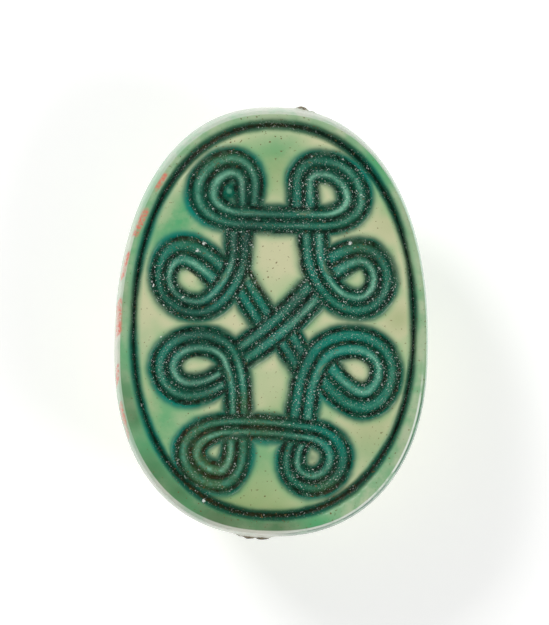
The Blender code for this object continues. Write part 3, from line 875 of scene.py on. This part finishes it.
def line_bend(ways):
    """How tightly each stretch of a line turns to its left, in turns of a millimetre radius."""
    turns = np.unwrap(np.arctan2(ways[:, 1], ways[:, 0]))
    lengths = np.linalg.norm(ways, axis=1)
    rate = np.gradient(turns) / lengths
    window = np.ones(BEND_WINDOW) / BEND_WINDOW
    return np.convolve(np.pad(rate, BEND_WINDOW // 2, mode="edge"), window, mode="valid")


def border_groove(flat, width_share, wobble):
    """The line round the edge: its depth as a share, and the distance out from its middle."""
    ring = section(HEIGHT, *(FACE[1:4] - BORDER_INSETS), BORDER_WIDEST_SHARE, FACE_SHIFT_X)
    turns = np.linspace(0, 2 * math.pi, BORDER_POINTS)
    line = oval_points(ring, np.cos(turns), np.sin(turns), BORDER_FULLNESS)[:, :2]
    distance, _ = nearest_on(flat, line, BORDER_SEARCH)
    distance = np.minimum(distance, BORDER_FAR)
    outside = oval_share(ring, flat, BORDER_FULLNESS) > 1
    end = smoothstep(*ENDS, np.abs(flat[:, 1]))
    width = BORDER_WIDTH_SIDE + (BORDER_WIDTH_END - BORDER_WIDTH_SIDE) * end
    share = np.exp(-(GROOVE_STEEPNESS * np.abs(distance + wobble) / (width / 2 * width_share))**2)
    return share, np.where(outside, distance, -distance)


def patch_mask(points, patches):
    """Soft round patches, added up and held under 1."""
    total = np.zeros(len(points))
    for x, y, radius, strength in patches:
        distance = np.hypot(points[:, 0] - x, points[:, 1] - y)
        total += strength * np.exp(-(distance / radius)**2)
    return np.minimum(total, 1.0)


def add_object(name, data):
    made = bpy.data.objects.new(name, data)
    bpy.context.scene.collection.objects.link(made)
    return made


def hold_masks(mesh, masks):
    for name, values in masks.items():
        mesh.attributes.new(name, "FLOAT", "POINT").data.foreach_set("value", values)


def make_seal():
    points, faces = make_form()
    paths = back_lines()
    points, faces = refine_near(points, faces, paths, BACK_LINE_WIDTH)
    normals = point_normals(points, faces)
    on_face = points[:, 2] > HEIGHT - LEVEL_SLACK
    outline, strokes = raise_beetle(points, normals)

    masks = {name: np.zeros(len(points)) for name in MASKS}
    masks["edge"] = np.full(len(points), POOL_REACH)
    for name, values in zip(MASKS, carve_face(points[on_face], cord_rails())):
        masks[name][on_face] = values
    depth = np.maximum(masks["groove"] * GROOVE_DEPTH, masks["border"] * BORDER_DEPTH)
    depth = np.maximum(depth, masks["strand"] * STRAND_SINK * (STRAND_HOLLOW - masks["crest"]))
    for name, patches in PATCHES.items():
        masks[name] = patch_mask(points, patches) * (points[:, 2] > PLATE_BOTTOM)
    ragged = 1 + CRUMB_RAGGED * lumps(points, *CRUMB_LUMPS)
    for x, y, down, radius in CRUMBS:
        distance = np.linalg.norm(points - (x, y, HEIGHT - down), axis=1) / radius
        masks["crumb"] = np.maximum(masks["crumb"], np.exp(-(distance * ragged)**2))
    points += normals * (masks["crumb"] * CRUMB_RISE)[:, None]
    points[:, 2] += masks["grain"] * GRAIN_RISE - depth
    cut_back(points, normals, paths, strokes, outline, masks)

    masks["face"] = on_face.astype(float)
    masks["wall"] = (~on_face & (points[:, 2] > PLATE_BOTTOM)).astype(float)
    masks["inset"] = outline_inset(points)
    masks["ends"] = smoothstep(*ENDS, np.abs(points[:, 1] - ENDS_MIDDLE))
    masks["ink"] = ink_mask(points)
    points[:, 2] = np.maximum(points[:, 2], 0.0)

    mesh = bpy.data.meshes.new("carved_scarab")
    mesh.from_pydata(points * MM, [], faces)
    hold_masks(mesh, masks)
    mesh.shade_smooth()
    return add_object("carved_scarab", mesh)


def cut_back(points, normals, paths, strokes, outline, masks):
    """Cuts the back's lines and marks glaze pooled in them, and painted shade round the beetle, under the
    plate, by the hole and at the back's edge.
    """
    lines = np.full(len(points), np.inf)
    low = points[:, 2] < DOME_EDGE
    for path in paths:
        lines[low] = np.minimum(lines[low], nearest_on(points[low], path, SEARCH_REACH)[0])
    cut = np.exp(-(GROOVE_STEEPNESS * lines / (BACK_LINE_WIDTH / 2))**GROOVE_POWER)
    points -= normals * (cut * BACK_LINE_DEPTH)[:, None]
    masks["groove"] = np.maximum(np.maximum(masks["groove"], cut), strokes * STROKE_SHADE)
    hole = np.hypot(points[:, 0], points[:, 2] - HOLE_LEVEL) - HOLE_DIAMETER / 2
    # Painted shade: darker in the recesses beside the beetle's shapes, under the plate and round the hole
    side = (points[:, 2] < PLATE_BOTTOM + SHADE_TOP_GAP) & (points[:, 2] > DOME_EDGE - SHADE_LOW_GAP)
    hollow_shade = np.where(outline > 0, np.maximum(0.0, SHADE_REACH - outline) * SHADE_SLOPE, -outline)
    hollow_shade = np.minimum(hollow_shade, np.maximum(0.0, PLATE_BOTTOM - points[:, 2]) * GAP_SLOPE)
    hollow_shade = np.minimum(hollow_shade, np.abs(hole) * GAP_SLOPE)
    edge = masks["edge"]
    edge[side] = np.minimum(edge[side], hollow_shade[side])
    # Painted shade, darkest near the back's edge
    edge[low] = np.minimum(edge[low], BACK_SHADE + (DOME_EDGE - points[low, 2]) * BACK_SLOPE)
    masks["edge"] = np.minimum(edge, lines - BACK_LINE_WIDTH / 2)
    masks["hollow_shade"][side] = smoothstep(0.0, HOLLOW_EDGE, outline[side])


def outline_inset(points):
    """How far in from the seal's outline each point is, in millimetres, near enough."""
    share = oval_share(seal_section(0.0, 0.0), points)
    return np.clip(1 - share, 0, 1) * np.hypot(points[:, 0], points[:, 1] - WIDEST_SHARE * LENGTH / 2)


def ink_mask(points):
    """Faded red dabs on the plate's left wall, which lean and end unevenly part of the way down."""
    mask = np.zeros(len(points))
    down = HEIGHT - points[:, 2]
    flat = points[:, :2].copy()
    flat[:, 1] += INK_LEAN * down
    for start, end, width in INK_DABS:
        distance, _ = nearest_on(flat, np.array((start, end)), SEARCH_REACH)
        mask = np.maximum(mask, smoothstep(width / 2, width / 5, distance))
    low_end = INK_REACH + INK_RAGGED * lumps(points, *INK_LUMPS)
    return mask * smoothstep(low_end, low_end - INK_RAGGED, down)


def drill_string_hole(seal):
    """Cuts the hole that runs from head to tail, with the cutter's walls shaded as a groove."""
    mesh = bpy.data.meshes.new("string_hole")
    form = bmesh.new()
    bmesh.ops.create_cone(
        form, cap_ends=True, segments=HOLE_SIDES, radius1=HOLE_DIAMETER / 2 * MM,
        radius2=HOLE_DIAMETER / 2 * MM, depth=2 * LENGTH * MM,
    )
    form.to_mesh(mesh)
    form.free()
    masks = {name: np.zeros(len(mesh.vertices)) for name in MASKS}
    masks["groove"] += HOLE_SHADE
    hold_masks(mesh, masks)
    cutter = add_object("string_hole", mesh)
    cutter.rotation_euler = (math.pi / 2, 0.0, 0.0)
    cutter.location = (0.0, 0.0, HOLE_LEVEL * MM)
    boolean = seal.modifiers.new("string_hole", "BOOLEAN")
    boolean.operation = "DIFFERENCE"
    boolean.solver = "MANIFOLD"
    boolean.object = cutter
    bpy.context.view_layer.update()
    cut = bpy.data.meshes.new_from_object(seal.evaluated_get(bpy.context.evaluated_depsgraph_get()))
    seal.modifiers.clear()
    seal.data = cut
    bpy.data.objects.remove(cutter)


# Materials, the table, the camera and the lights


class Nodes:
    """Adds shader nodes to a material or world, each given as values or as other nodes' outputs."""

    def __init__(self, owner, end="Principled BSDF"):
        owner.use_nodes = True
        self.tree = owner.node_tree
        self.end = self.tree.nodes[end]
        self.places = self.new("TexCoord").outputs

    def new(self, kind):
        return self.tree.nodes.new(f"ShaderNode{kind}")

    def put(self, socket, value):
        if isinstance(value, bpy.types.NodeSocket):
            self.tree.links.new(value, socket)
        elif isinstance(value, tuple) and len(value) == 3:
            socket.default_value = (*value, 1.0)
        else:
            socket.default_value = value

    def fill(self, node, values):
        for name, value in values.items():
            self.put(node.inputs[name], value)

    def mask(self, name):
        node = self.new("Attribute")
        node.attribute_name = name
        return node.outputs["Fac"]

    def math(self, operation, a, b=0.0, clamp=False):
        node = self.new("Math")
        node.operation = operation
        node.use_clamp = clamp
        self.fill(node, {0: a, 1: b})
        return node.outputs[0]

    def times(self, a, b, clamp=False):
        return self.math("MULTIPLY", a, b, clamp)

    def ragged(self, value, grain, amount):
        """The value made uneven by noise, up and down by as much."""
        return self.math("ADD", value, self.times(self.math("SUBTRACT", grain, 0.5), amount))

    def spread(self, value, low, high, to_low=0.0, to_high=1.0):
        """The value eased from one range to another, and held at both ends."""
        node = self.new("MapRange")
        node.interpolation_type = "SMOOTHSTEP"
        self.fill(node, {
            "Value": value, "From Min": low, "From Max": high, "To Min": to_low, "To Max": to_high,
        })
        return node.outputs["Result"]

    def mix(self, share, a, b):
        node = self.new("Mix")
        node.data_type = "RGBA"
        self.fill(node, {"Factor": share, "A": a, "B": b})
        return node.outputs["Result"]

    def cover(self, colour, *layers):
        """A colour under layers, each given as its share and its colour."""
        for share, layer in layers:
            colour = self.mix(share, colour, layer)
        return colour

    def noise(self, size, detail, roughness):
        """Noise with lumps of a size in millimetres, mostly from 0.3 to 0.7."""
        shift = self.new("Mapping")
        scale, place = [1 / (size * MM)] * 3, [size * part for part in NOISE_SHIFT]
        self.fill(shift, {"Vector": self.places["Object"], "Scale": scale, "Location": place})
        node = self.new("TexNoise")
        self.fill(node, {
            "Vector": shift.outputs["Vector"], "Scale": 1.0, "Detail": detail, "Roughness": roughness,
        })
        return node.outputs["Fac"]

    def bump(self, height, distance):
        node = self.new("Bump")
        self.fill(node, {"Distance": distance * MM, "Height": height})
        return node.outputs["Normal"]


def glaze_material():
    """Green glaze: thin and creamy on the flat fields, pooled to teal by the grooves, dirt in them, with
    painted glints, highlights, reflection and shade.
    """
    material = bpy.data.materials.new("green_glaze")
    n = Nodes(material)
    (groove, edge, strand, crest, bend, border, border_gap, face, wall, inset, ends,
     green, olive_and_shadow, dirt, light, sparkle, bare, teal, dull, lip, filled, grain, crumb,
     sheen_wash, hollow_shade, ink) = (n.mask(name) for name in MASKS)
    (broad, medium, small, fine, grit, glint_specks, clusters,
     specks) = (n.noise(*settings) for settings in NOISES.values())

    mix, cover, times, spread = n.mix, n.cover, n.times, n.spread

    # Flat fields, and the rim outside the border line, darker in patches partly as painted shadow beside
    # that line
    field = cover(
        mix(spread(broad, 0.42, 0.62), CREAM, PALE_GREEN),
        (times(green, spread(medium, 0.3, 0.6, 0.7, 1.0)), FRESH_GREEN),
        (olive_and_shadow, OLIVE),
        (bare, CREAM),
    )
    rim = cover(
        mix(spread(medium, 0.36, 0.7), RIM_GREEN, RIM_PALE),
        (green, FRESH_GREEN),
        (times(olive_and_shadow, 0.9), RIM_DARK_AND_SHADOW),
        (times(bare, 0.8), RIM_PALE),
    )

    # Glaze pooled beside the cut lines and in the filled loop, and painted shade in the beetle's hollows,
    # under the plate and round the hole
    beside = spread(n.math("ABSOLUTE", border_gap), 0.08, 0.4, 0.9, 0.0)
    pool_and_shade = n.math("POWER", spread(edge, -0.05, POOL_REACH, 1.0, 0.0), POOL_POWER)
    pool_and_shade = n.math("MAXIMUM", pool_and_shade, times(beside, face))
    pool_and_shade = times(pool_and_shade, spread(medium, 0.3, 0.6, 0.85, 1.0))
    pool_and_shade = times(pool_and_shade, n.math("SUBTRACT", 1.0, times(bare, 0.95)))
    deep = mix(spread(small, 0.4, 0.65), STRAND_DARK, TEAL)
    surface = cover(
        field,
        (spread(border_gap, 0.0, 0.2), rim),
        (n.math("POWER", pool_and_shade, POOL_EDGE_POWER), mix(spread(pool_and_shade, 0.0, 0.7), FRESH_GREEN, TEAL)),
        (times(green, pool_and_shade), TEAL_BRIGHT),
        (times(hollow_shade, spread(medium, 0.3, 0.6, 0.45, 0.95)), deep),
        (spread(filled, 0.1, 0.6), mix(spread(filled, 0.8, 0.99, 0.0, 0.45), deep, RIDGE_PALE_AND_HIGHLIGHT)),
    )

    # The cords' strands, with a painted highlight along the crest, brighter where they bend
    lit = n.math("ADD", times(spread(bend, -0.2, 0.6, 0.1, 0.9), 0.7), times(light, 0.45))
    lit = times(lit, spread(medium, 0.35, 0.6, 0.45, 1.0), clamp=True)
    lit = times(lit, spread(fine, 0.3, 0.55, 1.1, 1.9))
    tone = n.math("ADD", fine, times(crest, 0.5))
    cord = cover(
        mix(spread(tone, 0.6, 1.05), STRAND_DARK, STRAND_MID),
        (times(n.math("POWER", crest, RIDGE_POWER), lit, clamp=True), RIDGE_PALE_AND_HIGHLIGHT),
        (times(times(teal, spread(crest, 0.0, 0.6)), 0.65), TEAL_BRIGHT),
        (times(dull, spread(medium, 0.3, 0.55, 0.4, 0.85)), STRAND_DULL),
        (times(dirt, spread(small, 0.3, 0.6, 0.25, 0.8)), STRAND_OLIVE),
    )

    # Cut lines, darkest in the middle, brown where dirt has stayed
    bed = mix(spread(small, 0.4, 0.62), GROOVE_BLACK, GROOVE_GREEN)
    bed = mix(times(dirt, 0.8), bed, GROOVE_BROWN)
    depth = n.math("ADD", spread(medium, 0.38, 0.55, 0.45, 1.0), times(sparkle, 0.3), clamp=True)
    core = mix(times(dirt, spread(fine, 0.35, 0.6)), GROOVE_BLACK, GROOVE_BROWN)

    # Grit in the carving: dark pits, pale specks painted as glints, and brown specks
    carved = n.math("MAXIMUM", n.math("MAXIMUM", groove, times(border, 0.6)), times(strand, 0.6))
    amount = n.math("ADD", times(sparkle, 0.55), spread(small, 0.35, 0.65, 0.0, 0.4))
    grainy = times(carved, amount, clamp=True)
    patchy = times(spread(clusters, 0.4, 0.62), times(grainy, 2.0, clamp=True))
    surface = cover(
        surface,
        (strand, cord),
        (times(spread(n.ragged(groove, fine, 0.8), 0.4, 1.0), depth), bed),
        (spread(border, 0.1, 0.7, 0.0, 0.75), GROOVE_GREEN),
        (spread(n.ragged(border, fine, 0.3), 0.7, 1.0), core),
        (times(spread(grit, 0.48, 0.4), grainy), GROOVE_BLACK),
        (times(spread(glint_specks, 0.6, 0.66), patchy), GRAIN_AND_GLINT_WHITE),
        (times(spread(specks, 0.68, 0.75), n.math("ADD", dirt, 0.55), clamp=True), SPECK_BROWN),
    )

    # The plate's wall: greener along the sides, greyish white at head and tail and in patches as painted
    # reflection over partly pale glaze, and a line of painted shade along the outline
    side = cover(
        WALL_GREEN,
        (times(ends, spread(medium, 0.3, 0.6, 0.1, 0.9)), WALL_PALE_AND_SHEEN),
        (times(sheen_wash, spread(medium, 0.3, 0.55, 0.6, 1.0)), WALL_SHEEN_WHITE),
        (times(spread(inset, 0.025, 0.004), spread(broad, 0.4, 0.65, 0.0, 0.4)), WALL_SHADE_LINE),
    )

    # On the wall, a painted highlight line over a teal streak along part of the rim, red dabs, grains and
    # crumbs
    streak = times(lip, spread(medium, 0.34, 0.5, 0.35, 1.0))
    highlight_line = times(spread(inset, 0.18, 0.22), spread(inset, 0.3, 0.26))
    under = times(spread(inset, 0.21, 0.17), spread(inset, 0.0, 0.03, 0.0, 0.75))
    large = times(spread(n.ragged(grain, grit, 1.6), 0.45, 0.75), spread(grain, 0.1, 0.3, 0.0, 0.8))
    soil = mix(spread(fine, 0.35, 0.6), CRUMB_BROWN, SPECK_BROWN)
    surface = cover(
        surface,
        (wall, side),
        (times(streak, highlight_line), LIP_HIGHLIGHT),
        (times(streak, under), TEAL),
        (times(ink, spread(fine, 0.36, 0.6, 0.1, 0.9)), INK_RED),
        (large, GRAIN_AND_GLINT_WHITE),
        (spread(n.ragged(crumb, fine, 1.0), 0.25, 0.5), soil),
    )

    height = n.math("ADD", times(fine, n.math("ADD", carved, 0.04)), times(medium, 0.25))
    n.fill(n.end, {
        "Base Color": surface,
        "Roughness": spread(fine, 0.3, 0.7, *GLAZE_ROUGHNESS),
        "Specular IOR Level": GLAZE_SPECULAR,
        "Normal": n.bump(height, GLAZE_BUMP),
    })
    return material


def table_material():
    material = bpy.data.materials.new("white_table")
    n = Nodes(material)
    n.fill(n.end, {
        "Base Color": n.mix(n.noise(*TABLE_NOISE), TABLE_GREY, TABLE_WHITE),
        "Roughness": TABLE_ROUGHNESS,
        "Emission Color": WHITE,
        "Emission Strength": TABLE_GLOW,
    })
    return material


def make_floor():
    mesh = bpy.data.meshes.new("table")
    half = FLOOR_SIZE * MM / 2
    low = -FLOOR_GAP * MM
    corners = [(-half, -half, low), (half, -half, low), (half, half, low), (-half, half, low)]
    mesh.from_pydata(corners, [], [(0, 1, 2, 3)])
    mesh.materials.append(table_material())
    table = add_object("table", mesh)


def make_camera():
    """Looks straight down, rolled so that the seal's length leans as it does in the photograph."""
    data = bpy.data.cameras.new("camera")
    data.lens = CAMERA_LENS_MM
    data.sensor_width = CAMERA_SENSOR_MM
    data.sensor_fit = "HORIZONTAL"
    data.clip_start = CAMERA_CLIP
    mm_per_px = LENGTH / SEAL_LENGTH_PX
    distance = PICTURE_WIDTH_PX * mm_per_px * CAMERA_LENS_MM / CAMERA_SENSOR_MM
    right = (PICTURE_WIDTH_PX / 2 - SEAL_CENTRE_PX[0]) * mm_per_px
    up = (SEAL_CENTRE_PX[1] - PICTURE_HEIGHT_PX / 2) * mm_per_px
    camera = add_object("camera", data)
    camera.rotation_euler = (0.0, 0.0, SEAL_LEAN)
    camera.location = (
        (right * math.cos(SEAL_LEAN) - up * math.sin(SEAL_LEAN)) * MM,
        (right * math.sin(SEAL_LEAN) + up * math.cos(SEAL_LEAN)) * MM,
        (HEIGHT + distance) * MM,
    )
    bpy.context.scene.camera = camera


def make_lights():
    aim = Vector((0.0, 0.0, HEIGHT * MM))
    for name, place, size, power in SOFT_LIGHTS:
        data = bpy.data.lights.new(name, "AREA")
        data.size = size * MM
        data.energy = power
        light = add_object(name, data)
        light.location = Vector(place) * MM
        light.rotation_euler = (aim - light.location).to_track_quat("-Z", "Y").to_euler()
    bpy.context.scene.world = white_tent()


def white_tent():
    """A white studio tent with a dim opening overhead, which keeps its reflection off the flat face."""
    world = bpy.data.worlds.new("studio")
    n = Nodes(world, "Background")
    way = n.new("SeparateXYZ")
    n.put(way.inputs["Vector"], n.places["Generated"])
    strength = n.spread(way.outputs["Z"], *SKY_DARK_ANGLES, SKY_STRENGTH, SKY_DARK_CENTRE)
    seen = n.math("MAXIMUM", strength, n.new("LightPath").outputs["Is Camera Ray"])
    n.fill(n.end, {"Color": WHITE, "Strength": seen})
    return world


def main():
    bpy.context.scene.view_settings.view_transform = "Standard"
    make_camera()
    make_lights()
    make_floor()
    seal = make_seal()
    drill_string_hole(seal)
    seal.data.materials.clear()
    seal.data.materials.append(glaze_material())
    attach(seal, "root")
    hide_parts("scarab")


main()
